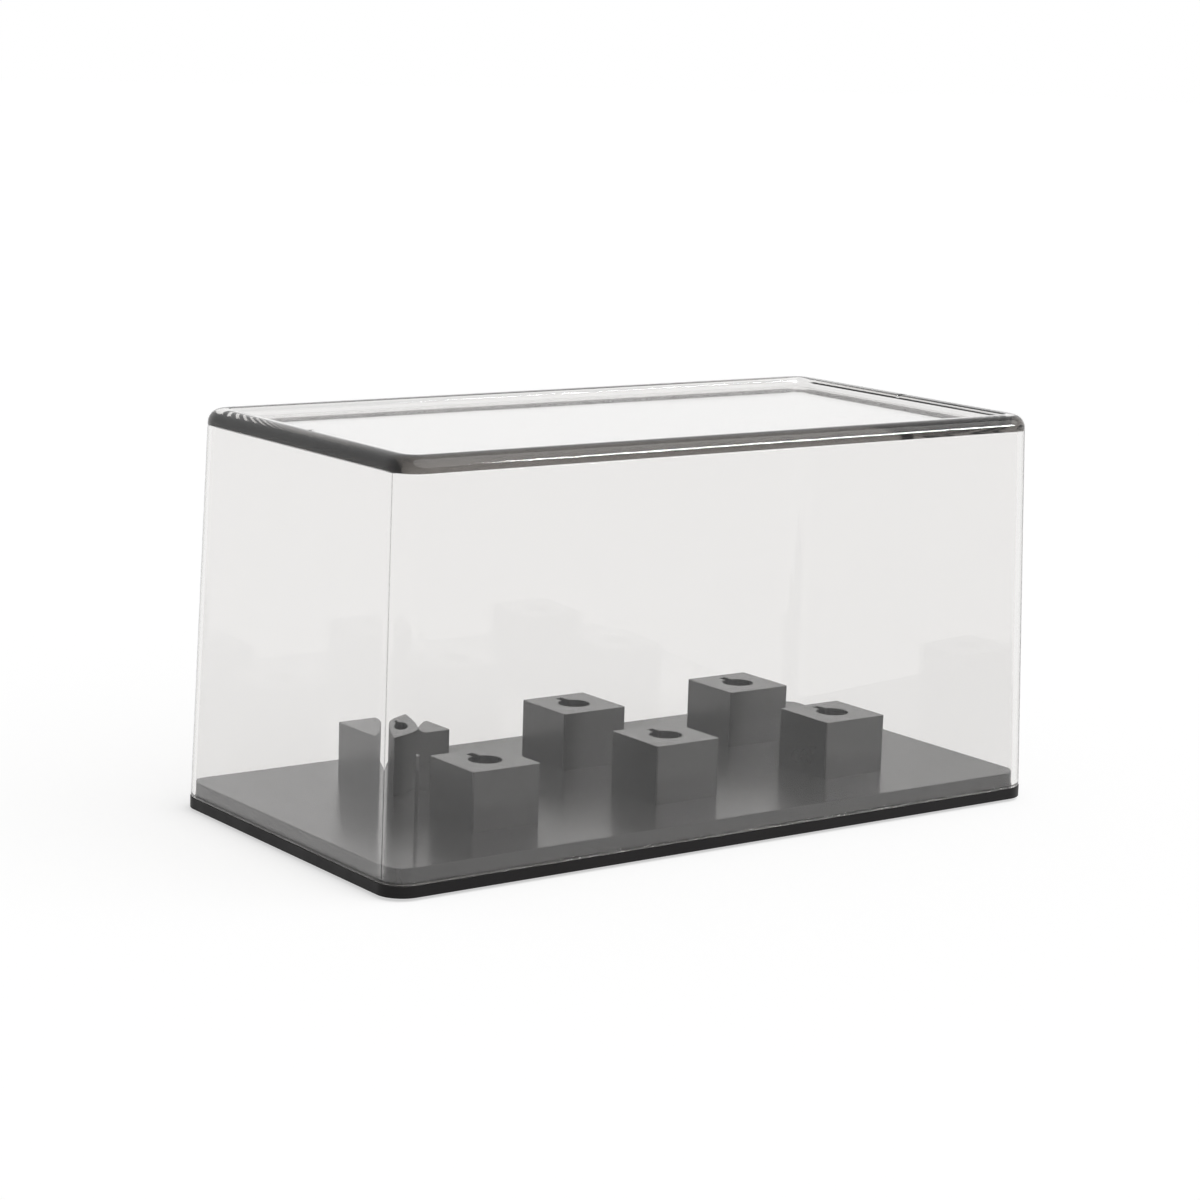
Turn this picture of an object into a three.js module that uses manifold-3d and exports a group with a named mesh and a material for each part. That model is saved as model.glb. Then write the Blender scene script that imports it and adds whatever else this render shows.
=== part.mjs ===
// A storage box for plug-in cartridges: six socket posts on a flat base, under a clear cover that lifts off.
// Millimetres, +Z up, +X along the length, -Y towards the front. The feet stand on z = 0.

import * as THREE from 'three';
import { mergeVertices } from 'three/addons/utils/BufferGeometryUtils.js';
import Module from 'manifold-3d';

const wasm = await Module();
wasm.setup();

// Base: the black floor, whose edge carries the cover
const BASE_LENGTH = 196.5;
const BASE_WIDTH = 100;
const BASE_THICKNESS = 2.8;
const BASE_CORNER_RADIUS = 6.6;
const BASE_BOTTOM_ROUNDING = 0.8;

// Rubber feet, half sunk in pockets under the base
const FOOT_DIAMETER = 12;
const FOOT_HEIGHT = 2;
const FOOT_POCKET_DEPTH = 1.2;
const FOOT_INSET = 16;
const FOOT_CHAMFER = 0.3;

// Holder plate: the grey step that the cover drops over
const PLATE_THICKNESS = 3.8;
const PLATE_TOP_ROUNDING = 0.4;

// Socket posts: two rows of three
const POST_SIDE = 19.2;
const POST_HEIGHT = 14.9;
const POST_CORNER_RADIUS = 0.5;
const POST_TOP_ROUNDING = 0.3;
const POST_PITCH_X = 54.2;
const POST_PITCH_Y = 39.8;
const SOCKET_DIAMETER = 8.3;
const SOCKET_DEPTH = 11;
const SOCKET_FLOOR = 1.2;
const KEY_WIDTH = 2;
const KEY_REACH = 6.9;
const SPIGOT_SIDE = 12;

// Screws: one from below into each post
const SCREW_DIAMETER = 2.9;
const SCREW_HEAD_DIAMETER = 5.6;
const SCREW_HEAD_HEIGHT = 1.7;
const SCREW_HEAD_ROUNDING = 0.9;
const SCREW_HEAD_SINK = 0.2;
const CROSS_LENGTH = 3;
const CROSS_WIDTH = 0.8;
const CROSS_DEPTH = 0.9;

// Cover: a clear box, open below, with a raised rim round its sunken top panel, nicked inside at both ends
const COVER_WALL = 2;
const COVER_INNER_HEIGHT = 93.5;
const COVER_DRAFT_DEGREES = 1.6;
const COVER_INNER_ROUNDING = 0.3;
const TOP_PANEL_THICKNESS = 1.9;
const TOP_PANEL_CORNER_RADIUS = 0.4;
const RIM_HEIGHT = 2.2;
const RIM_WIDTH = 6.2;
const RIM_SLOPE = 0.5;
const RIM_OUTER_ROUNDING = 3.3;
const RIM_INNER_ROUNDING = 1;
const RIM_NICK_LENGTH = 1.6;
const RIM_NICK_WIDTH = 1.4;
const RIM_NICK_DEPTH = 0.5;

// Clearances, each on one side
const COVER_CLEARANCE = 0.3;
const FOOT_CLEARANCE = 0.2;
const SPIGOT_CLEARANCE = 0.15;
const SPIGOT_GAP = 0.5;
const SCREW_CLEARANCE = 0.2;
const THREAD_CLEARANCE = 0.05;
const SCREW_TIP_CLEARANCE = 0.4;

// How finely round shapes are drawn
const CORNER_STEPS = 8;
const EDGE_STEPS = 3;
const RIM_STEPS = 6;
const ROUND_SIDES = 32;

// A cutter runs this far past the face that it cuts
const OVERCUT = 1;

// Heights that follow from the sizes above
const BASE_BOTTOM = FOOT_HEIGHT - FOOT_POCKET_DEPTH;
const BASE_TOP = BASE_BOTTOM + BASE_THICKNESS;
const PLATE_TOP = BASE_TOP + PLATE_THICKNESS;
const POST_TOP = PLATE_TOP + POST_HEIGHT;
const CEILING = BASE_TOP + COVER_INNER_HEIGHT;
const PANEL_TOP = CEILING + TOP_PANEL_THICKNESS;
const COVER_TOP = PANEL_TOP + RIM_HEIGHT;

// Fits that follow from the sizes above
const COUNTERBORE_DEPTH = SCREW_HEAD_HEIGHT + SCREW_HEAD_SINK;
const SPIGOT_LENGTH = PLATE_THICKNESS - SPIGOT_GAP;
const PILOT_DEPTH = SPIGOT_LENGTH + POST_HEIGHT - SOCKET_DEPTH - SOCKET_FLOOR;
const SHANK_LENGTH = BASE_THICKNESS - COUNTERBORE_DEPTH + SPIGOT_GAP + PILOT_DEPTH - SCREW_TIP_CLEARANCE;

const POST_PLACES = [];
for (const [row, y] of [['front', -POST_PITCH_Y / 2], ['back', POST_PITCH_Y / 2]]) {
  for (const [column, x] of [['left', -POST_PITCH_X], ['middle', 0], ['right', POST_PITCH_X]]) {
    POST_PLACES.push({ name: `${row}_${column}`, x, y });
  }
}

const FOOT_PLACES = [];
for (const [row, side] of [['front', -1], ['back', 1]]) {
  for (const [column, end] of [['left', -1], ['right', 1]]) {
    const x = end * (BASE_LENGTH / 2 - FOOT_INSET);
    const y = side * (BASE_WIDTH / 2 - FOOT_INSET);
    FOOT_PLACES.push({ name: `${row}_${column}`, x, y });
  }
}

// Solids for cutting and joining

function toSolid(geometry) {
  const bare = geometry.clone();
  bare.deleteAttribute('normal');
  bare.deleteAttribute('uv');
  const merged = mergeVertices(bare);
  const vertProperties = new Float32Array(merged.attributes.position.array);
  const triVerts = new Uint32Array(merged.index.array);
  return new wasm.Manifold(new wasm.Mesh({ numProp: 3, vertProperties, triVerts }));
}

function toGeometry(solid) {
  const mesh = solid.getMesh();
  const indexed = new THREE.BufferGeometry();
  indexed.setAttribute('position', new THREE.BufferAttribute(mesh.vertProperties, mesh.numProp));
  indexed.setIndex(new THREE.BufferAttribute(mesh.triVerts, 1));
  const geometry = indexed.toNonIndexed();
  geometry.computeVertexNormals();
  return geometry;
}

// An upright round bar whose foot is at z
function roundBar(diameter, height, x, y, z) {
  const bar = new THREE.CylinderGeometry(diameter / 2, diameter / 2, height, ROUND_SIDES);
  bar.rotateX(Math.PI / 2);
  bar.translate(x, y, z + height / 2);
  return toSolid(bar);
}

// An upright block whose foot is at z
function block(length, width, height, x, y, z) {
  const box = new THREE.BoxGeometry(length, width, height);
  box.translate(x, y, z + height / 2);
  return toSolid(box);
}

// A shape turned about the Z axis from [radius, z] points that start and end on the axis, lowest first
function turned(profile) {
  const points = profile.map(([radius, z]) => new THREE.Vector2(radius, z));
  const lathe = new THREE.LatheGeometry(points, ROUND_SIDES);
  lathe.rotateX(Math.PI / 2);
  return toSolid(lathe);
}

// Outline of a rounded rectangle, anticlockwise, with the same number of points at any size
function roundedOutline({ length, width, radius, steps }) {
  const x = length / 2 - radius;
  const y = width / 2 - radius;
  const outline = new THREE.Path();
  outline.absarc(x, y, radius, 0, Math.PI / 2);
  outline.absarc(-x, y, radius, Math.PI / 2, Math.PI);
  outline.absarc(-x, -y, radius, Math.PI, 1.5 * Math.PI);
  outline.absarc(x, -y, radius, 1.5 * Math.PI, 2 * Math.PI);
  return outline.getPoints(steps / 2);
}

// A closed solid through rounded rectangles stacked from the lowest to the highest
function stack(sections, steps = CORNER_STEPS) {
  const rings = sections.map((section) => roundedOutline({ ...section, steps }));
  const count = rings[0].length;
  const positions = [];
  rings.forEach((ring, level) => ring.forEach((p) => positions.push(p.x, p.y, sections[level].z)));
  const triangles = [];
  for (let level = 0; level + 1 < rings.length; level += 1) {
    for (let k = 0; k < count; k += 1) {
      const a = level * count + k;
      const b = level * count + ((k + 1) % count);
      triangles.push(a, b, b + count, a, b + count, a + count);
    }
  }
  const top = (rings.length - 1) * count;
  for (const [a, b, c] of THREE.ShapeUtils.triangulateShape(rings[0], [])) {
    triangles.push(a, c, b, top + a, top + b, top + c);
  }
  const geometry = new THREE.BufferGeometry();
  geometry.setAttribute('position', new THREE.Float32BufferAttribute(positions, 3));
  geometry.setIndex(triangles);
  return toSolid(geometry);
}

// How far a rounded edge has come in, and how far it has risen, at each of its steps
function roundedEdge(radius, steps) {
  return Array.from({ length: steps + 1 }, (_, k) => {
    const angle = (k / steps) * (Math.PI / 2);
    return { inset: radius * (1 - Math.cos(angle)), rise: radius * Math.sin(angle) };
  });
}

// A block with rounded upright corners and a rounded top edge
function roundTopped({ length, width, radius, bottom, top, rounding, steps }) {
  const upper = roundedEdge(rounding, EDGE_STEPS).map(({ inset, rise }) => ({
    z: top - rounding + rise,
    length: length - 2 * inset,
    width: width - 2 * inset,
    radius: radius - inset,
  }));
  return stack([{ z: bottom, length, width, radius }, ...upper], steps);
}

// Base with its foot pockets and counterbored screw holes

function makeBase() {
  const lower = roundedEdge(BASE_BOTTOM_ROUNDING, EDGE_STEPS).reverse().map(({ inset, rise }) => ({
    z: BASE_BOTTOM + BASE_BOTTOM_ROUNDING - rise,
    length: BASE_LENGTH - 2 * inset,
    width: BASE_WIDTH - 2 * inset,
    radius: BASE_CORNER_RADIUS - inset,
  }));
  const rim = { z: BASE_TOP, length: BASE_LENGTH, width: BASE_WIDTH, radius: BASE_CORNER_RADIUS };
  let base = stack([...lower, rim]);
  const under = BASE_BOTTOM - OVERCUT;
  for (const { x, y } of FOOT_PLACES) {
    const diameter = FOOT_DIAMETER + 2 * FOOT_CLEARANCE;
    base = base.subtract(roundBar(diameter, FOOT_POCKET_DEPTH + OVERCUT, x, y, under));
  }
  for (const { x, y } of POST_PLACES) {
    const head = SCREW_HEAD_DIAMETER + 2 * SCREW_CLEARANCE;
    const shank = SCREW_DIAMETER + 2 * SCREW_CLEARANCE;
    base = base.subtract(roundBar(head, COUNTERBORE_DEPTH + OVERCUT, x, y, under));
    base = base.subtract(roundBar(shank, BASE_THICKNESS + 2 * OVERCUT, x, y, under));
  }
  return base;
}

function makeFoot() {
  const radius = FOOT_DIAMETER / 2;
  return turned([
    [0, 0],
    [radius - FOOT_CHAMFER, 0],
    [radius, FOOT_CHAMFER],
    [radius, FOOT_HEIGHT],
    [0, FOOT_HEIGHT],
  ]);
}

// Plate with a square hole for each post's spigot

function makePlate() {
  const margin = COVER_WALL + COVER_CLEARANCE + coverLean(PLATE_TOP);
  let plate = roundTopped({
    length: BASE_LENGTH - 2 * margin,
    width: BASE_WIDTH - 2 * margin,
    radius: BASE_CORNER_RADIUS - margin,
    bottom: BASE_TOP,
    top: PLATE_TOP,
    rounding: PLATE_TOP_ROUNDING,
    steps: CORNER_STEPS,
  });
  const side = SPIGOT_SIDE + 2 * SPIGOT_CLEARANCE;
  for (const { x, y } of POST_PLACES) {
    plate = plate.subtract(block(side, side, PLATE_THICKNESS + 2 * OVERCUT, x, y, BASE_TOP - OVERCUT));
  }
  return plate;
}

// Post, drawn on the Z axis: column, spigot below it, keyed socket above and screw hole below

function makePost() {
  const column = roundTopped({
    length: POST_SIDE,
    width: POST_SIDE,
    radius: POST_CORNER_RADIUS,
    bottom: PLATE_TOP,
    top: POST_TOP,
    rounding: POST_TOP_ROUNDING,
    steps: 2 * EDGE_STEPS,
  });
  const spigotFoot = PLATE_TOP - SPIGOT_LENGTH;
  const spigot = block(SPIGOT_SIDE, SPIGOT_SIDE, SPIGOT_LENGTH + OVERCUT, 0, 0, spigotFoot);
  const socketFloor = POST_TOP - SOCKET_DEPTH;
  const socket = roundBar(SOCKET_DIAMETER, SOCKET_DEPTH + OVERCUT, 0, 0, socketFloor);
  const key = block(KEY_WIDTH, KEY_REACH, SOCKET_DEPTH + OVERCUT, 0, KEY_REACH / 2, socketFloor);
  const pilotDiameter = SCREW_DIAMETER + 2 * THREAD_CLEARANCE;
  const pilot = roundBar(pilotDiameter, PILOT_DEPTH + OVERCUT, 0, 0, spigotFoot - OVERCUT);
  return column.add(spigot).subtract(socket).subtract(key).subtract(pilot);
}

// Screw, drawn on the Z axis: a pan head with a cross recess below, and a plain shank above

function makeScrew() {
  const seat = BASE_BOTTOM + COUNTERBORE_DEPTH;
  const headFoot = seat - SCREW_HEAD_HEIGHT;
  const headRadius = SCREW_HEAD_DIAMETER / 2;
  const shankRadius = SCREW_DIAMETER / 2;
  const dome = roundedEdge(SCREW_HEAD_ROUNDING, EDGE_STEPS).reverse().map(({ inset, rise }) => [
    headRadius - inset,
    headFoot + SCREW_HEAD_ROUNDING - rise,
  ]);
  const tip = seat + SHANK_LENGTH;
  const screw = turned([
    [0, headFoot],
    ...dome,
    [headRadius, seat],
    [shankRadius, seat],
    [shankRadius, tip],
    [0, tip],
  ]);
  const foot = headFoot - OVERCUT;
  const across = block(CROSS_LENGTH, CROSS_WIDTH, CROSS_DEPTH + OVERCUT, 0, 0, foot);
  const along = block(CROSS_WIDTH, CROSS_LENGTH, CROSS_DEPTH + OVERCUT, 0, 0, foot);
  return screw.subtract(across).subtract(along);
}

// Cover

// How far the cover's walls have leaned in at height z
function coverLean(z) {
  return Math.tan(THREE.MathUtils.degToRad(COVER_DRAFT_DEGREES)) * (z - BASE_TOP);
}

// Section of the cover at height z, that far inside its outer face, with corners no sharper than the panel's
function coverSection(z, inset) {
  const lean = coverLean(z);
  return {
    z,
    length: BASE_LENGTH - 2 * (lean + inset),
    width: BASE_WIDTH - 2 * (lean + inset),
    radius: Math.max(BASE_CORNER_RADIUS - inset, TOP_PANEL_CORNER_RADIUS),
  };
}

function makeCover() {
  const shoulder = COVER_TOP - RIM_OUTER_ROUNDING;
  const crest = roundedEdge(RIM_OUTER_ROUNDING, RIM_STEPS);
  const outside = stack([
    coverSection(BASE_TOP, 0),
    ...crest.map(({ inset, rise }) => coverSection(shoulder + rise, inset)),
  ]);
  const spring = CEILING - COVER_INNER_ROUNDING;
  const corner = roundedEdge(COVER_INNER_ROUNDING, EDGE_STEPS);
  const inside = stack([
    coverSection(BASE_TOP - OVERCUT, COVER_WALL),
    ...corner.map(({ inset, rise }) => coverSection(spring + rise, COVER_WALL + inset)),
  ]);
  const brim = COVER_TOP - RIM_INNER_ROUNDING;
  const brimWidth = RIM_WIDTH - RIM_SLOPE;
  const mouth = roundedEdge(RIM_INNER_ROUNDING, EDGE_STEPS);
  const sunkenTop = stack([
    coverSection(PANEL_TOP, RIM_WIDTH),
    ...mouth.map(({ inset, rise }) => coverSection(brim + rise, brimWidth - inset)),
    coverSection(COVER_TOP + OVERCUT, brimWidth - RIM_INNER_ROUNDING),
  ]);
  let cover = outside.subtract(inside).subtract(sunkenTop);
  const nickLength = RIM_NICK_LENGTH + OVERCUT;
  const nickMiddle = BASE_LENGTH / 2 - coverLean(COVER_TOP) - brimWidth + RIM_NICK_LENGTH - nickLength / 2;
  const nickFloor = COVER_TOP - RIM_NICK_DEPTH;
  for (const end of [-1, 1]) {
    const x = end * nickMiddle;
    cover = cover.subtract(block(nickLength, RIM_NICK_WIDTH, RIM_NICK_DEPTH + OVERCUT, x, 0, nickFloor));
  }
  return cover;
}

// Finishes

function clearPlastic() {
  return new THREE.MeshStandardMaterial({
    color: 0xe6e8e8,
    roughness: 0.05,
    metalness: 0,
    transparent: true,
    opacity: 0.3,
  });
}

function blackPlastic() {
  return new THREE.MeshStandardMaterial({ color: 0x1c1a1c, roughness: 0.4, metalness: 0 });
}

function greyPlastic() {
  return new THREE.MeshStandardMaterial({ color: 0x4e4c4d, roughness: 0.35, metalness: 0 });
}

function rubber() {
  return new THREE.MeshStandardMaterial({ color: 0x1a1a1a, roughness: 0.9, metalness: 0 });
}

function platedSteel() {
  return new THREE.MeshStandardMaterial({ color: 0x9a9b9d, roughness: 0.3, metalness: 1 });
}

// The whole box

const storageBox = new THREE.Group();

function addPiece(name, solid, material, x = 0, y = 0) {
  const piece = new THREE.Mesh(toGeometry(solid), material);
  piece.name = name;
  piece.position.set(x, y, 0);
  storageBox.add(piece);
}

addPiece('dust_cover', makeCover(), clearPlastic());
addPiece('base', makeBase(), blackPlastic());
addPiece('holder_plate', makePlate(), greyPlastic());
for (const { name, x, y } of POST_PLACES) {
  addPiece(`post_${name}`, makePost(), greyPlastic(), x, y);
  addPiece(`screw_${name}`, makeScrew(), platedSteel(), x, y);
}
for (const { name, x, y } of FOOT_PLACES) {
  addPiece(`foot_${name}`, makeFoot(), rubber(), x, y);
}

export default storageBox;
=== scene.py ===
import math

import bmesh
import bpy
from mathutils import Matrix, Vector


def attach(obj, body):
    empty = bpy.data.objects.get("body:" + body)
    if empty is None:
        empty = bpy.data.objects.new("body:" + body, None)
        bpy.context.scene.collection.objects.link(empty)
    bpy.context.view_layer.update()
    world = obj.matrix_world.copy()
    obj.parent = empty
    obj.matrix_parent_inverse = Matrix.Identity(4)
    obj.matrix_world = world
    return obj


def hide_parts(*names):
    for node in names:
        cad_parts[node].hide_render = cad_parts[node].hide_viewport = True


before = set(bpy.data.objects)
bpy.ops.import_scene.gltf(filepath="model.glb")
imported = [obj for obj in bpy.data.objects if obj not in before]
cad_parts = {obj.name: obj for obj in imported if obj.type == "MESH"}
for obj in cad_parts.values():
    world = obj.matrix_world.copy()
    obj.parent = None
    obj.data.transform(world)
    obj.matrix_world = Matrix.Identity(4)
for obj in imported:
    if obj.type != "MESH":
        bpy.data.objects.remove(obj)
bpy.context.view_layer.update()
scene = bpy.context.scene
MM = 0.001

# Sizes of the box, the same as the solids'

BASE_LENGTH, BASE_WIDTH, BASE_CORNER = 196.5 * MM, 100 * MM, 6.6 * MM
BASE_BOTTOM, BASE_TOP, PLATE_TOP, POST_TOP = 0.8 * MM, 3.6 * MM, 7.4 * MM, 22.3 * MM
CEILING, PANEL_TOP, COVER_TOP = 97.1 * MM, 99 * MM, 101.2 * MM
COVER_WALL, COVER_GAP = 2 * MM, 0.3 * MM
COVER_DRAFT = math.tan(math.radians(1.6))
RIM_CREST, RIM_SLOPE, RIM_OUTER_ROUNDING, RIM_INNER_ROUNDING = 5.7 * MM, 0.5 * MM, 3.3 * MM, 1 * MM
CEILING_ROUNDING, PANEL_ROUNDING = 0.3 * MM, 0.08 * MM
CORNER_CORE, SOFT_END, SOFT_LONG, INNER_CORNER = 6.3 * MM, 5.5 * MM, 3 * MM, 4.6 * MM
COVER_AIR = 0.02 * MM
NICK_WIDTH, NICK_DEPTH, NICK_SLOPE = 1.4 * MM, 0.5 * MM, 0.15 * MM
POST_SIDE, POST_CORNER = 19.2 * MM, 0.5 * MM
POST_PITCH_X, POST_PITCH_Y = 54.2 * MM, 39.8 * MM
SOCKET_RADIUS, SOCKET_DEPTH = 4.15 * MM, 11 * MM
KEY_WIDTH, KEY_REACH = 2 * MM, 6.9 * MM
SPIGOT_SIDE, SPIGOT_LENGTH, SPIGOT_GAP = 12 * MM, 3.3 * MM, 0.15 * MM
PILOT_RADIUS, PILOT_DEPTH = 1.5 * MM, 6 * MM
HEAD_RADIUS, HEAD_HEIGHT, HEAD_SINK = 2.8 * MM, 1.7 * MM, 0.2 * MM
SHANK_RADIUS, SHANK_LENGTH = 1.45 * MM, 7 * MM
CROSS_LENGTH, CROSS_WIDTH, CROSS_DEPTH, HEAD_ROUNDING = 3 * MM, 0.8 * MM, 0.9 * MM, 0.9 * MM
FOOT_RADIUS, FOOT_HEIGHT, FOOT_POCKET, FOOT_INSET = 6 * MM, 2 * MM, 1.2 * MM, 16 * MM
FOOT_GAP, SCREW_GAP = 0.2 * MM, 0.2 * MM

# Roundings of the small edges, and how near two points are one

COVER_FOOT_OUTSIDE, COVER_FOOT_INSIDE = 0.35 * MM, 0.15 * MM
BASE_FOOT_ROUNDING, BASE_TOP_ROUNDING, BASE_HOLE_ROUNDING = 0.8 * MM, 0.35 * MM, 0.15 * MM
PLATE_FOOT_ROUNDING, PLATE_TOP_ROUNDING, SPIGOT_CORNER = 0.2 * MM, 0.4 * MM, 0.3 * MM
POST_TOP_ROUNDING, SOCKET_ROUNDING = 0.3 * MM, 0.12 * MM
SHANK_TIP_ROUNDING, FOOT_GROUND_ROUNDING, FOOT_TOP_ROUNDING = 0.3 * MM, 0.3 * MM, 0.1 * MM
SAME_POINT, SAME_LEVEL = 0.001 * MM, 0.01 * MM
SHARP_ANGLE = math.radians(40)

POST_PLACES = {
    f"{row}_{column}": (x * POST_PITCH_X, y * POST_PITCH_Y / 2)
    for row, y in (("front", -1), ("back", 1))
    for column, x in (("left", -1), ("middle", 0), ("right", 1))
}
FOOT_PLACES = {
    f"{row}_{column}": (x * (BASE_LENGTH / 2 - FOOT_INSET), y * (BASE_WIDTH / 2 - FOOT_INSET))
    for row, y in (("front", -1), ("back", 1))
    for column, x in (("left", -1), ("right", 1))
}


# Finishes


class Finish:
    """A material's nodes, read by the piece's own coordinates."""

    def __init__(self, name):
        self.material = bpy.data.materials.new(name)
        self.material.use_nodes = True
        self.tree = self.material.node_tree
        self.shader = self.tree.nodes["Principled BSDF"]
        self.output = self.tree.nodes["Material Output"]
        self.place = self.add("ShaderNodeTexCoord").outputs["Object"]

    def add(self, kind, **inputs):
        node = self.tree.nodes.new(kind)
        for name, value in inputs.items():
            node.inputs[name.replace("_", " ")].default_value = value
        return node

    def link(self, source, target):
        self.tree.links.new(source, target)

    def noise(self, scale, detail=2.0, roughness=0.5):
        node = self.add("ShaderNodeTexNoise", Scale=scale, Detail=detail, Roughness=roughness)
        self.link(self.place, node.inputs["Vector"])
        return node.outputs["Fac"]

    def cells(self, scale):
        node = self.add("ShaderNodeTexVoronoi", Scale=scale)
        self.link(self.place, node.inputs["Vector"])
        return node.outputs["Distance"]

    def blend(self, source, low, high, start=0.3, end=0.7):
        node = self.add(
            "ShaderNodeMapRange", From_Min=start, From_Max=end, To_Min=low, To_Max=high
        )
        self.link(source, node.inputs["Value"])
        return node.outputs["Result"]

    def sum(self, first, second, operation="ADD"):
        node = self.add("ShaderNodeMath")
        node.operation = operation
        self.link(first, node.inputs[0])
        self.link(second, node.inputs[1])
        return node.outputs["Value"]

    def colours(self, source, dark, light, start=0.3, end=0.7):
        node = self.add("ShaderNodeValToRGB")
        node.color_ramp.elements[0].position = start
        node.color_ramp.elements[0].color = (*dark, 1)
        node.color_ramp.elements[1].position = end
        node.color_ramp.elements[1].color = (*light, 1)
        self.link(source, node.inputs["Fac"])
        return node.outputs["Color"]

    def bump(self, height, distance, strength):
        node = self.add("ShaderNodeBump", Distance=distance, Strength=strength)
        self.link(height, node.inputs["Height"])
        self.link(node.outputs["Normal"], self.shader.inputs["Normal"])

    def set(self, **inputs):
        for name, value in inputs.items():
            self.shader.inputs[name.replace("_", " ")].default_value = value


def moulded_plastic(name, dark, light, smooth, rough, grain, gloss):
    """Satin moulded plastic: faint flow clouds in the colour, and a fine spark-eroded grain."""
    finish = Finish(name)
    clouds = finish.noise(38, 3)
    finish.link(finish.colours(clouds, dark, light), finish.shader.inputs["Base Color"])
    wipes = finish.noise(150, 4, 0.6)
    finish.link(finish.blend(wipes, smooth, rough), finish.shader.inputs["Roughness"])
    texture = finish.sum(finish.cells(4200), finish.noise(2600, 3))
    finish.bump(texture, 0.002 * MM, grain)
    finish.set(IOR=1.5, Specular_IOR_Level=gloss)
    return finish.material


def clear_plastic():
    """Polished clear plastic, very faintly wavy, that lets the light of the lamps through to the inside."""
    finish = Finish("clear_plastic")
    finish.set(Base_Color=(0.94, 0.935, 0.93, 1), Specular_Tint=(0.7, 0.7, 0.7, 1))
    finish.set(Transmission_Weight=1.0, IOR=1.5)
    body = finish.add("ShaderNodeVolumeAbsorption", Color=(0.52, 0.5, 0.48, 1), Density=36)
    finish.link(body.outputs["Volume"], finish.output.inputs["Volume"])
    rubs = finish.noise(90, 5, 0.65)
    finish.link(finish.blend(rubs, 0.0, 0.012, 0.55, 0.8), finish.shader.inputs["Roughness"])
    finish.bump(finish.noise(22, 1), 0.06 * MM, 0.12)
    lit_through = finish.add("ShaderNodeBsdfTransparent", Color=(0.95, 0.948, 0.945, 1))
    path = finish.add("ShaderNodeLightPath")
    by_light = finish.sum(path.outputs["Is Shadow Ray"], path.outputs["Is Diffuse Ray"], "MAXIMUM")
    mix = finish.add("ShaderNodeMixShader")
    finish.link(by_light, mix.inputs["Fac"])
    finish.link(finish.shader.outputs["BSDF"], mix.inputs[1])
    finish.link(lit_through.outputs["BSDF"], mix.inputs[2])
    finish.link(mix.outputs["Shader"], finish.output.inputs["Surface"])
    return finish.material


def plated_steel():
    """Zinc-plated steel with fine scratches and clouds in its polish."""
    finish = Finish("plated_steel")
    clouds = finish.noise(900, 3)
    finish.link(
        finish.colours(clouds, (0.5, 0.51, 0.53), (0.66, 0.66, 0.66)), finish.shader.inputs["Base Color"]
    )
    finish.link(finish.blend(finish.noise(2500, 2), 0.22, 0.42), finish.shader.inputs["Roughness"])
    finish.bump(finish.noise(5200, 2), 0.01 * MM, 0.3)
    finish.set(Metallic=1.0)
    return finish.material


def foot_rubber():
    """Matt black rubber with a grainy skin."""
    finish = Finish("foot_rubber")
    clouds = finish.noise(220, 3)
    finish.link(
        finish.colours(clouds, (0.012, 0.012, 0.012), (0.022, 0.022, 0.021)),
        finish.shader.inputs["Base Color"],
    )
    finish.link(finish.blend(finish.noise(700, 3), 0.72, 0.92), finish.shader.inputs["Roughness"])
    finish.bump(finish.cells(1500), 0.05 * MM, 0.35)
    finish.set(IOR=1.45)
    return finish.material


POST_PLASTIC = moulded_plastic(
    "post_plastic", dark=(0.027, 0.026, 0.026), light=(0.033, 0.032, 0.0315),
    smooth=0.19, rough=0.23, grain=0.08, gloss=0.78,
)
PLATE_PLASTIC = moulded_plastic(
    "plate_plastic", dark=(0.023, 0.022, 0.022), light=(0.029, 0.028, 0.0275),
    smooth=0.24, rough=0.27, grain=0.08, gloss=0.88,
)
BLACK_PLASTIC = moulded_plastic(
    "black_plastic", dark=(0.012, 0.011, 0.0115), light=(0.017, 0.016, 0.0165),
    smooth=0.42, rough=0.55, grain=0.1, gloss=0.16,
)
CLEAR_PLASTIC = clear_plastic()
STEEL = plated_steel()
RUBBER = foot_rubber()


# Modelling helpers


def edges_of(bm, wanted):
    """The edges whose two ends both fit."""
    return [e for e in bm.edges if all(wanted(v.co) for v in e.verts)]


def rounded_face(bm, length, width, radius, z, steps):
    """One flat face with rounded corners."""
    verts = bmesh.ops.create_grid(bm, x_segments=1, y_segments=1, size=0.5)["verts"]
    bmesh.ops.scale(bm, vec=(length, width, 1), verts=verts)
    bmesh.ops.translate(bm, vec=(0, 0, z), verts=verts)
    bevelled = bmesh.ops.bevel(
        bm, geom=verts, offset=radius, offset_type="OFFSET", affect="VERTICES",
        segments=steps, profile=0.5, material=-1, clamp_overlap=True,
    )
    return bevelled["verts"][0].link_faces[0]


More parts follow.
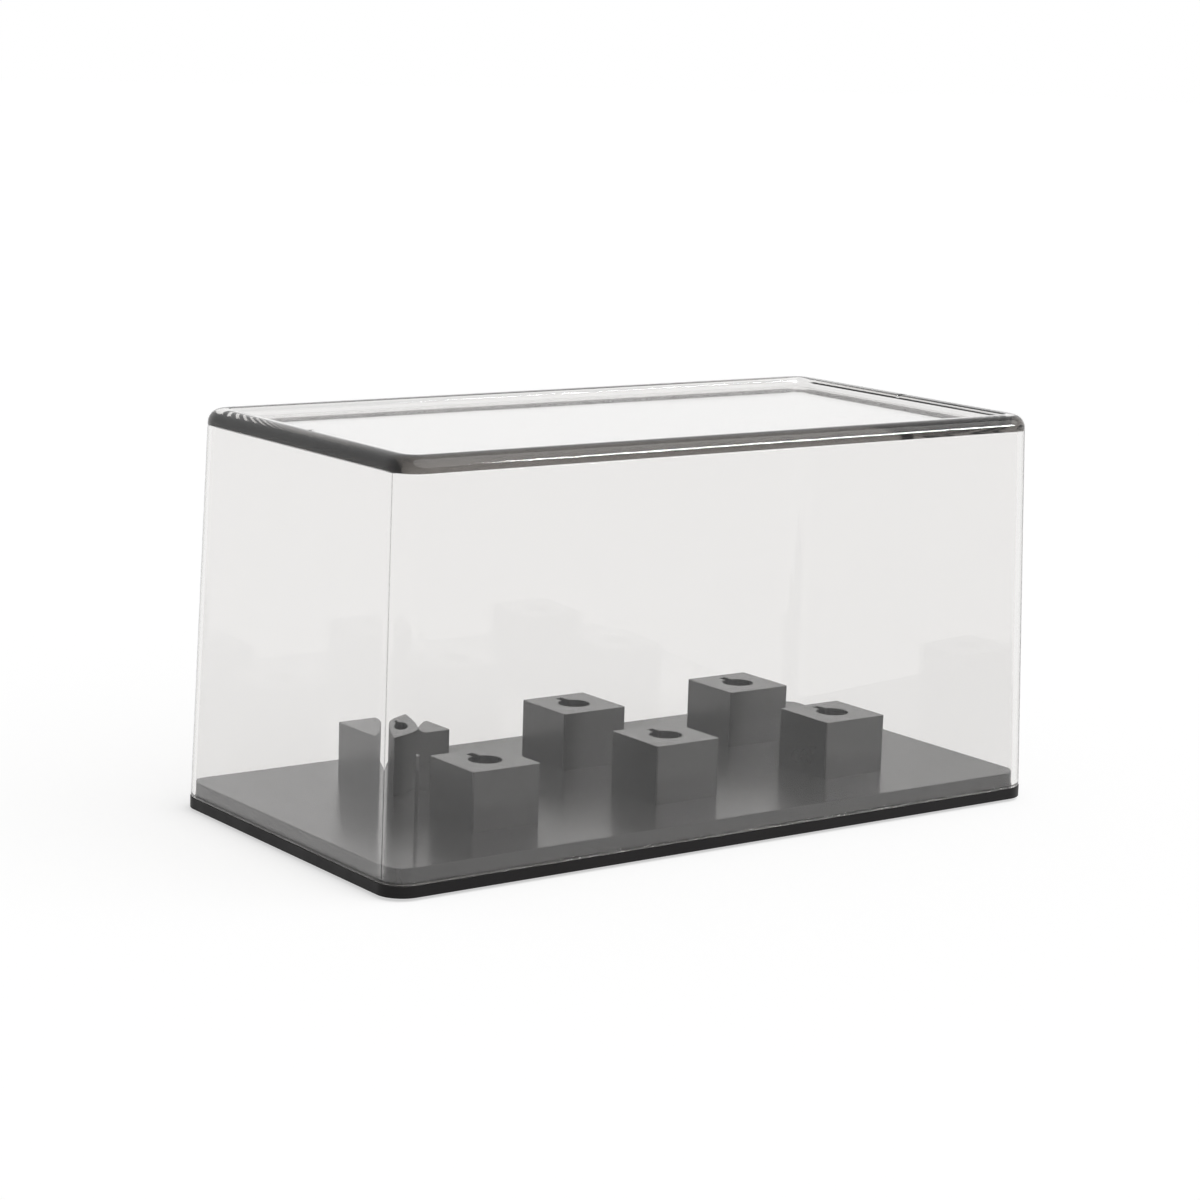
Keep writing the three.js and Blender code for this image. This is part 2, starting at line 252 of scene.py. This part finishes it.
def soft_corner_face(bm, length, width, z):
    """One flat face whose corners start gently, more so on the end walls than on the long walls."""
    verts = bmesh.ops.create_vert(bm, co=(0, 0, z))["vert"]
    way = math.pi / 2
    arcs = [(SOFT_END / 3 / CORNER_CORE, share, 4) for share in (1 / 6, 1 / 2, 5 / 6)]
    arcs += [(SOFT_LONG / 3 / CORNER_CORE, share, 3) for share in (5 / 6, 1 / 2, 1 / 6)]
    core = math.pi / 2 - sum(turn * share for turn, share, steps in arcs)
    arcs.insert(3, (core, 1, 16))
    for turn, share, steps in arcs:
        reach = CORNER_CORE / share
        start = verts[-1].co
        middle = (start.x - reach * math.sin(way), start.y + reach * math.cos(way), z)
        spun = bmesh.ops.spin(
            bm, geom=[verts[-1]], cent=middle, axis=(0, 0, 1), angle=turn * share, steps=steps
        )
        verts += [v for v in spun["geom_last"] if isinstance(v, bmesh.types.BMVert)]
        way += turn * share
    first, last = verts[0], verts[-1]
    shift = (length / 2 - first.co.x, width / 2 - last.co.y, 0)
    bmesh.ops.translate(bm, vec=shift, verts=bm.verts)
    quarter = [*bm.verts, *bm.edges]
    ends = {(1, 1): (first, last)}
    for sides in ((-1, 1), (-1, -1), (1, -1)):
        copy = bmesh.ops.duplicate(bm, geom=quarter)
        made = [v for v in copy["geom"] if isinstance(v, bmesh.types.BMVert)]
        bmesh.ops.scale(bm, vec=(*sides, 1), verts=made)
        ends[sides] = (copy["vert_map"][first], copy["vert_map"][last])
    for one, other, end in (
        ((1, 1), (-1, 1), 1), ((-1, 1), (-1, -1), 0), ((-1, -1), (1, -1), 1), ((1, -1), (1, 1), 0)
    ):
        bmesh.ops.contextual_create(bm, geom=[ends[one][end], ends[other][end]])
    return bmesh.ops.contextual_create(bm, geom=list(bm.edges))["faces"][0]


def only_outline(bm, face):
    """Takes the face away and keeps its edges."""
    edges = list(face.edges)
    bmesh.ops.delete(bm, geom=[face], context="FACES_ONLY")
    return edges


def circle(bm, radius, x, y, z, sides=48):
    """The outline of a round hole or boss."""
    verts = bmesh.ops.create_circle(
        bm, cap_ends=False, radius=radius, segments=sides, matrix=Matrix.Translation((x, y, z))
    )["verts"]
    return list({e for v in verts for e in v.link_edges})


def square(bm, side, x, y, z):
    """The outline of a spigot or its hole."""
    face = rounded_face(bm, side, side, SPIGOT_CORNER, 0, 2)
    bmesh.ops.translate(bm, vec=(x, y, z), verts=face.verts)
    return only_outline(bm, face)


def fill_between(bm, *outlines):
    """A flat face from the first outline to the holes inside it."""
    edges = [e for outline in outlines for e in outline]
    return bmesh.ops.triangle_fill(bm, use_beauty=True, use_dissolve=False, edges=edges)


def draw(bm, outline, z):
    """Draws a wall out of an outline, up or down to height z, and returns the far outline."""
    made = bmesh.ops.extrude_edge_only(bm, edges=outline)["geom"]
    for v in made:
        if isinstance(v, bmesh.types.BMVert):
            v.co.z = z
    return [e for e in made if isinstance(e, bmesh.types.BMEdge)]


def close(bm, outline):
    """Closes an outline with one flat face."""
    bmesh.ops.contextual_create(bm, geom=outline)


def ease(bm, edges, offset, steps):
    """Rounds edges over."""
    bmesh.ops.bevel(
        bm, geom=edges, offset=offset, offset_type="OFFSET", affect="EDGES",
        segments=steps, profile=0.5, material=-1, clamp_overlap=True,
    )


def piece(name, bm, material, body, slot, *nodes):
    """Makes the object, smooth over its rounded edges, and puts it in the place of its solids."""
    bmesh.ops.remove_doubles(bm, verts=bm.verts, dist=SAME_POINT)
    bmesh.ops.recalc_face_normals(bm, faces=bm.faces)
    mesh = bpy.data.meshes.new(name)
    bm.to_mesh(mesh)
    bm.free()
    mesh.polygons.foreach_set("use_smooth", [True] * len(mesh.polygons))
    mesh.set_sharp_from_angle(angle=SHARP_ANGLE)
    mesh.materials.append(material)
    made = bpy.data.objects.new(name, mesh)
    scene.collection.objects.link(made)
    weighted = made.modifiers.new("even_shading", "WEIGHTED_NORMAL")
    weighted.keep_sharp = True
    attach(made, body)
    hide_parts(*nodes)
    return made


# Clear cover


def lean_in(verts, height):
    """Leans the corners in by the draft, as far as the wall is high."""
    for v in verts:
        v.co.x -= math.copysign(COVER_DRAFT * height, v.co.x)
        v.co.y -= math.copysign(COVER_DRAFT * height, v.co.y)


def lift_face(bm, face, z):
    """Extrudes a face to height z and returns the face at the end."""
    made = bmesh.ops.extrude_face_region(bm, geom=[face])["geom"]
    end = next(f for f in made if isinstance(f, bmesh.types.BMFace))
    for v in end.verts:
        v.co.z = z
    if any(len(e.link_faces) > 2 for e in face.edges):
        bmesh.ops.delete(bm, geom=[face], context="FACES_ONLY")
    return end


def rising(edge):
    """True if the edge bounds a wall."""
    return any(abs(f.normal.z) < 0.5 for f in edge.link_faces)


def clear_cover():
    """The cover: tapered walls, a raised rim with a nick in each end, and the sunken top panel."""
    bm = bmesh.new()
    foot_level = BASE_TOP + COVER_AIR
    foot = soft_corner_face(bm, BASE_LENGTH, BASE_WIDTH, foot_level)
    top = lift_face(bm, foot, COVER_TOP)
    lean_in(top.verts, COVER_TOP - BASE_TOP)

    for width in (RIM_CREST, RIM_SLOPE):
        bmesh.ops.inset_region(bm, faces=[top], thickness=width, use_even_offset=True, use_boundary=True)
    for v in top.verts:
        v.co.z = PANEL_TOP
    panel_edges = list(top.edges)

    outside_foot = only_outline(bm, foot)
    mouth = rounded_face(
        bm, BASE_LENGTH - 2 * COVER_WALL, BASE_WIDTH - 2 * COVER_WALL, INNER_CORNER, foot_level, 24
    )
    inside_foot = only_outline(bm, mouth)
    fill_between(bm, outside_foot, inside_foot)
    inside_top = draw(bm, inside_foot, CEILING)
    lean_in({v for e in inside_top for v in e.verts}, CEILING - BASE_TOP)
    close(bm, inside_top)

    bm.normal_update()
    half_length = BASE_LENGTH / 2 - COVER_DRAFT * (COVER_TOP - BASE_TOP) - RIM_CREST / 2
    half_width = BASE_WIDTH / 2 - COVER_DRAFT * (COVER_TOP - BASE_TOP) - RIM_CREST / 2

    def outer(co):
        return abs(co.x) > half_length or abs(co.y) > half_width

    crest = [e for e in edges_of(bm, lambda co: co.z > COVER_TOP - SAME_LEVEL) if rising(e)]
    outside = [e for e in crest if all(outer(v.co) for v in e.verts)]
    inside = [e for e in crest if not all(outer(v.co) for v in e.verts)]
    ease(bm, outside, RIM_OUTER_ROUNDING, 10)
    ease(bm, inside, RIM_INNER_ROUNDING, 5)
    ease(bm, inside_top, CEILING_ROUNDING, 5)
    ease(bm, panel_edges, PANEL_ROUNDING, 4)
    ease(bm, outside_foot, COVER_FOOT_OUTSIDE, 5)
    ease(bm, inside_foot, COVER_FOOT_INSIDE, 2)

    for y in (-NICK_WIDTH / 2, -NICK_WIDTH / 2 + NICK_SLOPE, NICK_WIDTH / 2 - NICK_SLOPE, NICK_WIDTH / 2):
        geom = [*bm.verts, *bm.edges, *bm.faces]
        bmesh.ops.bisect_plane(bm, geom=geom, dist=SAME_POINT, plane_co=(0, y, 0), plane_no=(0, 1, 0))
    for v in bm.verts:
        if abs(v.co.y) < NICK_WIDTH / 2 - NICK_SLOPE / 2 and abs(v.co.x) < half_length - RIM_INNER_ROUNDING:
            v.co.z = min(v.co.z, COVER_TOP - NICK_DEPTH)
    return piece("clear_cover", bm, CLEAR_PLASTIC, "cover", "clear_plastic", "dust_cover")


# Base, plate, posts, screws and feet


def black_base():
    """The floor of the box, with pockets for the feet and sunk holes for the screws."""
    bm = bmesh.new()
    outline = only_outline(bm, rounded_face(bm, BASE_LENGTH, BASE_WIDTH, BASE_CORNER, BASE_BOTTOM, 16))
    counterbore = BASE_BOTTOM + HEAD_HEIGHT + HEAD_SINK
    pockets = [circle(bm, FOOT_RADIUS + FOOT_GAP, x, y, BASE_BOTTOM) for x, y in FOOT_PLACES.values()]
    seats = [circle(bm, HEAD_RADIUS + SCREW_GAP, x, y, BASE_BOTTOM) for x, y in POST_PLACES.values()]
    fill_between(bm, outline, *pockets, *seats)
    mouths = [e for hole in (*pockets, *seats) for e in hole]
    for pocket in pockets:
        close(bm, draw(bm, pocket, BASE_BOTTOM + FOOT_POCKET))
    holes = []
    for seat, (x, y) in zip(seats, POST_PLACES.values()):
        shelf = draw(bm, seat, counterbore)
        hole = circle(bm, SHANK_RADIUS + SCREW_GAP, x, y, counterbore, 24)
        fill_between(bm, shelf, hole)
        holes.append(draw(bm, hole, BASE_TOP))
    top = draw(bm, outline, BASE_TOP)
    fill_between(bm, top, *holes)
    ease(bm, outline, BASE_FOOT_ROUNDING, 5)
    ease(bm, top, BASE_TOP_ROUNDING, 4)
    ease(bm, [e for e in mouths if e.is_valid], BASE_HOLE_ROUNDING, 2)
    return piece("black_base", bm, BLACK_PLASTIC, "holder", "black_plastic", "base")


def grey_plate():
    """The plate inside the cover's foot, with a square hole for each post's spigot."""
    bm = bmesh.new()
    margin = COVER_WALL + COVER_GAP + COVER_DRAFT * (PLATE_TOP - BASE_TOP)
    face = rounded_face(
        bm, BASE_LENGTH - 2 * margin, BASE_WIDTH - 2 * margin, BASE_CORNER - margin, BASE_TOP, 16
    )
    outline = only_outline(bm, face)
    side = SPIGOT_SIDE + 2 * SPIGOT_GAP
    holes = [square(bm, side, x, y, BASE_TOP) for x, y in POST_PLACES.values()]
    fill_between(bm, outline, *holes)
    top = draw(bm, outline, PLATE_TOP)
    fill_between(bm, top, *(draw(bm, hole, PLATE_TOP) for hole in holes))
    ease(bm, top, PLATE_TOP_ROUNDING, 4)
    ease(bm, outline, PLATE_FOOT_ROUNDING, 2)
    return piece("grey_plate", bm, PLATE_PLASTIC, "holder", "grey_plastic", "holder_plate")


def keyhole(bm, x, y, z):
    """The outline of the round socket with its key notch at the back."""
    notch = math.asin(KEY_WIDTH / 2 / SOCKET_RADIUS)
    side = (x - KEY_WIDTH / 2, y + SOCKET_RADIUS * math.cos(notch), z)
    start = bmesh.ops.create_vert(bm, co=side)["vert"]
    spun = bmesh.ops.spin(
        bm, geom=start, cent=(x, y, z), axis=(0, 0, 1), angle=2 * math.pi - 2 * notch, steps=44
    )
    last = next(v for v in spun["geom_last"] if isinstance(v, bmesh.types.BMVert))
    corners = []
    for end in (start[0], last):
        corner = bmesh.ops.extrude_vert_indiv(bm, verts=[end])["verts"][0]
        corner.co.y = y + KEY_REACH
        corners.append(corner)
    bmesh.ops.contextual_create(bm, geom=corners)
    loop, todo = set(), [start[0]]
    while todo:
        for edge in todo.pop().link_edges:
            if edge not in loop:
                loop.add(edge)
                todo += edge.verts
    return list(loop)


def grey_post(place, x, y):
    """A square post with its socket, its spigot and the pilot hole for its screw."""
    bm = bmesh.new()
    face = rounded_face(bm, POST_SIDE, POST_SIDE, POST_CORNER, PLATE_TOP, 6)
    bmesh.ops.translate(bm, vec=(x, y, 0), verts=face.verts)
    outline = only_outline(bm, face)
    top = draw(bm, outline, POST_TOP)
    mouth = keyhole(bm, x, y, POST_TOP)
    fill_between(bm, top, mouth)
    close(bm, draw(bm, mouth, POST_TOP - SOCKET_DEPTH))
    neck = square(bm, SPIGOT_SIDE, x, y, PLATE_TOP)
    fill_between(bm, outline, neck)
    spigot = draw(bm, neck, PLATE_TOP - SPIGOT_LENGTH)
    pilot = circle(bm, PILOT_RADIUS, x, y, PLATE_TOP - SPIGOT_LENGTH, 24)
    fill_between(bm, spigot, pilot)
    close(bm, draw(bm, pilot, PLATE_TOP - SPIGOT_LENGTH + PILOT_DEPTH))
    ease(bm, top, POST_TOP_ROUNDING, 4)
    ease(bm, [e for e in mouth if e.is_valid], SOCKET_ROUNDING, 2)
    return piece(f"grey_post_{place}", bm, POST_PLASTIC, "holder", "grey_plastic", f"post_{place}")


def steel_screw(place, x, y):
    """A round-headed screw with a cross recess, head down."""
    bm = bmesh.new()
    foot = BASE_BOTTOM + HEAD_SINK
    seat = foot + HEAD_HEIGHT
    grid = bmesh.ops.create_grid(bm, x_segments=3, y_segments=3, size=1)["verts"]
    for v in grid:
        for axis in (0, 1):
            reach = CROSS_LENGTH / 2 if abs(v.co[axis]) > 0.5 else CROSS_WIDTH / 2
            v.co[axis] = math.copysign(reach, v.co[axis])
    bmesh.ops.translate(bm, vec=(x, y, foot), verts=grid)
    middles = {f: f.calc_center_median() for f in bm.faces}
    spare = [f for f, m in middles.items() if min(abs(m.x - x), abs(m.y - y)) > CROSS_WIDTH / 2]
    bmesh.ops.delete(bm, geom=spare, context="FACES")
    rim = [e for e in bm.edges if e.is_boundary]
    cross = list(bm.faces)
    raised = bmesh.ops.extrude_face_region(bm, geom=cross)["geom"]
    for v in raised:
        if isinstance(v, bmesh.types.BMVert):
            v.co.z = foot + CROSS_DEPTH
    bmesh.ops.delete(bm, geom=[f for f in cross if f.is_valid], context="FACES")
    head = circle(bm, HEAD_RADIUS, x, y, foot)
    fill_between(bm, head, rim)
    shoulder = draw(bm, head, seat)
    neck = circle(bm, SHANK_RADIUS, x, y, seat, 32)
    fill_between(bm, shoulder, neck)
    tip = draw(bm, neck, seat + SHANK_LENGTH)
    close(bm, tip)
    ease(bm, head, HEAD_ROUNDING, 5)
    ease(bm, tip, SHANK_TIP_ROUNDING, 2)
    return piece(f"steel_screw_{place}", bm, STEEL, "holder", "plated_steel", f"screw_{place}")


def rubber_foot(place, x, y):
    """A round foot that stands in its pocket."""
    bm = bmesh.new()
    ground = circle(bm, FOOT_RADIUS, x, y, 0)
    close(bm, ground)
    top = draw(bm, ground, FOOT_HEIGHT)
    close(bm, top)
    ease(bm, ground, FOOT_GROUND_ROUNDING, 3)
    ease(bm, top, FOOT_TOP_ROUNDING, 2)
    return piece(f"rubber_foot_{place}", bm, RUBBER, "holder", "rubber", f"foot_{place}")


cover = clear_cover()
black_base()
grey_plate()
for place, (x, y) in POST_PLACES.items():
    grey_post(place, x, y)
    steel_screw(place, x, y)
for place, (x, y) in FOOT_PLACES.items():
    rubber_foot(place, x, y)


# Studio

CAMERA_PLACE = (-455.41 * MM, -616.33 * MM, 199.15 * MM)
CAMERA_TURN = (78.825, -1.877, -36.153)
CAMERA_LENS, CAMERA_SENSOR = 92.305, 36
CAMERA_SHIFT = (-0.01963, 0.01667)
FLOOR_HALF, FLOOR_GREY, FLOOR_LIFT = 6, 0.6, 0.57
WORLD_FILL, WORLD_WHITE = 0.3, 1.0
STRIP_DISTANCE = 3


def studio_camera():
    """The camera of the photograph."""
    data = bpy.data.cameras.new("camera")
    data.lens = CAMERA_LENS
    data.sensor_width = CAMERA_SENSOR
    data.shift_x, data.shift_y = CAMERA_SHIFT
    data.clip_start = 0.01
    data.clip_end = 100
    camera = bpy.data.objects.new("camera", data)
    camera.location = CAMERA_PLACE
    camera.rotation_euler = [math.radians(turn) for turn in CAMERA_TURN]
    scene.collection.objects.link(camera)
    scene.camera = camera


def seen_directly(tree):
    """1 for the rays that show the background: to the camera, off gloss and through clear plastic."""
    path = tree.nodes.new("ShaderNodeLightPath")
    most = path.outputs["Is Camera Ray"]
    for name in ("Is Glossy Ray", "Is Transmission Ray"):
        node = tree.nodes.new("ShaderNodeMath")
        node.operation = "MAXIMUM"
        tree.links.new(most, node.inputs[0])
        tree.links.new(path.outputs[name], node.inputs[1])
        most = node.outputs["Value"]
    return most


def studio_world():
    """A white room, which gives the box only a weak even light."""
    world = bpy.data.worlds.new("studio")
    scene.world = world
    world.use_nodes = True
    tree = world.node_tree
    fill = tree.nodes["Background"]
    fill.inputs["Color"].default_value = (1, 1, 1, 1)
    fill.inputs["Strength"].default_value = WORLD_FILL
    white = tree.nodes.new("ShaderNodeBackground")
    white.inputs["Color"].default_value = (1, 1, 1, 1)
    white.inputs["Strength"].default_value = WORLD_WHITE
    mix = tree.nodes.new("ShaderNodeMixShader")
    tree.links.new(seen_directly(tree), mix.inputs["Fac"])
    tree.links.new(fill.outputs["Background"], mix.inputs[1])
    tree.links.new(white.outputs["Background"], mix.inputs[2])
    tree.links.new(mix.outputs["Shader"], tree.nodes["World Output"].inputs["Surface"])


def studio_floor():
    """A pale paper floor that takes the box's shadow."""
    bm = bmesh.new()
    bmesh.ops.create_grid(bm, x_segments=1, y_segments=1, size=FLOOR_HALF)
    mesh = bpy.data.meshes.new("floor")
    bm.to_mesh(mesh)
    bm.free()
    floor = bpy.data.objects.new("floor", mesh)
    scene.collection.objects.link(floor)
    paper = bpy.data.materials.new("floor_paper")
    paper.use_nodes = True
    tree = paper.node_tree
    shader = tree.nodes["Principled BSDF"]
    shader.inputs["Base Color"].default_value = (FLOOR_GREY, FLOOR_GREY, FLOOR_GREY, 1)
    shader.inputs["Roughness"].default_value = 1.0
    shader.inputs["Specular IOR Level"].default_value = 0.0
    shader.inputs["Emission Color"].default_value = (1, 1, 1, 1)
    lift = tree.nodes.new("ShaderNodeMath")
    lift.operation = "MULTIPLY"
    lift.inputs[1].default_value = FLOOR_LIFT
    tree.links.new(seen_directly(tree), lift.inputs[0])
    tree.links.new(lift.outputs["Value"], shader.inputs["Emission Strength"])
    mesh.materials.append(paper)


def soft_sun(name, azimuth, elevation, spread, strength):
    """A broad soft light from far off, so that the floor is lit evenly."""
    data = bpy.data.lights.new(name, "SUN")
    data.energy = strength
    data.angle = math.radians(spread)
    lamp = bpy.data.objects.new(name, data)
    lamp.rotation_euler = (math.radians(90 - elevation), 0, math.radians(azimuth))
    scene.collection.objects.link(lamp)


def strip_softbox(azimuth, elevation, width, height, watts, lit):
    """A wide low lamp at the front right, for the cover alone: it draws the line along the front rim."""
    data = bpy.data.lights.new("strip_softbox", "AREA")
    data.shape = "RECTANGLE"
    data.size = width
    data.size_y = height
    data.energy = watts
    lamp = bpy.data.objects.new("strip_softbox", data)
    lamp.rotation_euler = (math.radians(90 - elevation), 0, math.radians(azimuth))
    lamp.location = lamp.rotation_euler.to_matrix() @ Vector((0, 0, STRIP_DISTANCE))
    only = bpy.data.collections.new("lit_by_strip")
    only.objects.link(lit)
    lamp.light_linking.receiver_collection = only
    scene.collection.objects.link(lamp)


studio_camera()
studio_world()
studio_floor()
soft_sun("key_softbox", azimuth=30, elevation=52, spread=70, strength=1.7)
strip_softbox(azimuth=43, elevation=24, width=0.75, height=0.3, watts=36, lit=cover)

scene.view_settings.view_transform = "Standard"
scene.cycles.max_bounces = 40
scene.cycles.glossy_bounces = 40
scene.cycles.transmission_bounces = 40
